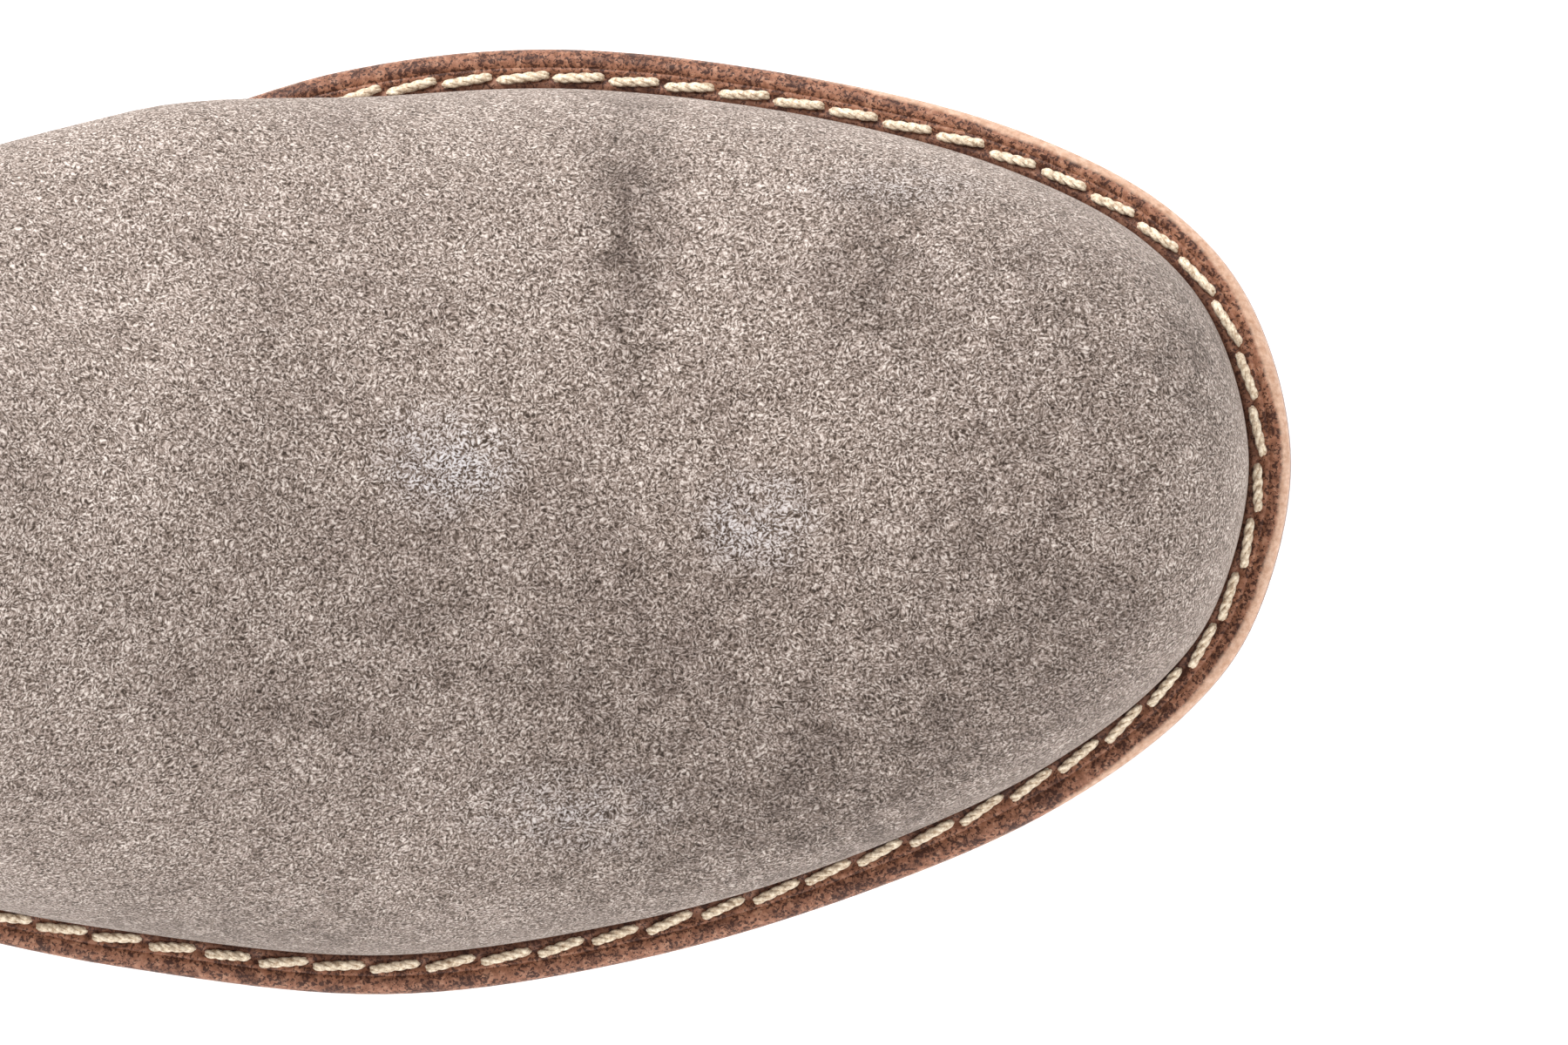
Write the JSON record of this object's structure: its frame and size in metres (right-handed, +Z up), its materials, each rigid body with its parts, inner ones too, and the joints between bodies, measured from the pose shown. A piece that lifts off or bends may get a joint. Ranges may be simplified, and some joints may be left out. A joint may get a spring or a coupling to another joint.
{
  "type": "moccasin shoe",
  "caption": "Right-foot slip-on moccasin shoe: plain-toe suede upper on a stitched leather welt, elastic side gores, padded bound collar and a low stacked heel.",
  "frame": {"origin": "centre of the shoe's bounding box, on the ground under the sole", "axes": "+X from heel to toe, +Y towards the inner side of the foot, +Z up"},
  "size_m": [0.298, 0.1068, 0.0961],
  "materials": {
    "suede": "napped taupe suede",
    "welt_leather": "speckled brown, lightly waxed",
    "sole_leather": "vegetable-tanned, smooth",
    "lining_leather": "unfinished, matt",
    "elastic": "ribbed woven elastic",
    "sole_rubber": "matt",
    "fibreboard": "pressed fibre, matt",
    "cork": "granulated cork, matt",
    "foam": "open-cell foam and felt",
    "bed_foam": "matt foam",
    "thread": "waxed twisted thread",
    "spring_steel": "rolled",
    "nail_brass": "cut nail heads"
  },
  "bodies": {
    "root": {"welt": "welt_leather", "topline_binding": "welt_leather", "midsole": "sole_leather", "heel_lift_upper": "sole_leather", "heel_lift_lower": "sole_leather", "heel_top_piece": "sole_rubber", "outsole": "sole_rubber", "shank": "spring_steel", "cork_filler": "cork", "insole_board": "fibreboard", "toe_puff": "fibreboard", "heel_counter": "fibreboard", "footbed": "bed_foam", "sock_liner": "lining_leather", "interlining": "foam", "collar_foam": "foam", "vamp_lining": "lining_leather", "quarter_lining": "lining_leather", "vamp": "suede", "inner_quarter": "suede", "outer_quarter": "suede", "backstay": "suede", "inner_gore": "elastic", "outer_gore": "elastic", "welt_stitching": "thread", "heel_nail_1": "nail_brass", "heel_nail_2": "nail_brass", "heel_nail_3": "nail_brass", "heel_nail_4": "nail_brass", "heel_nail_5": "nail_brass"}
  },
  "joints": []
}
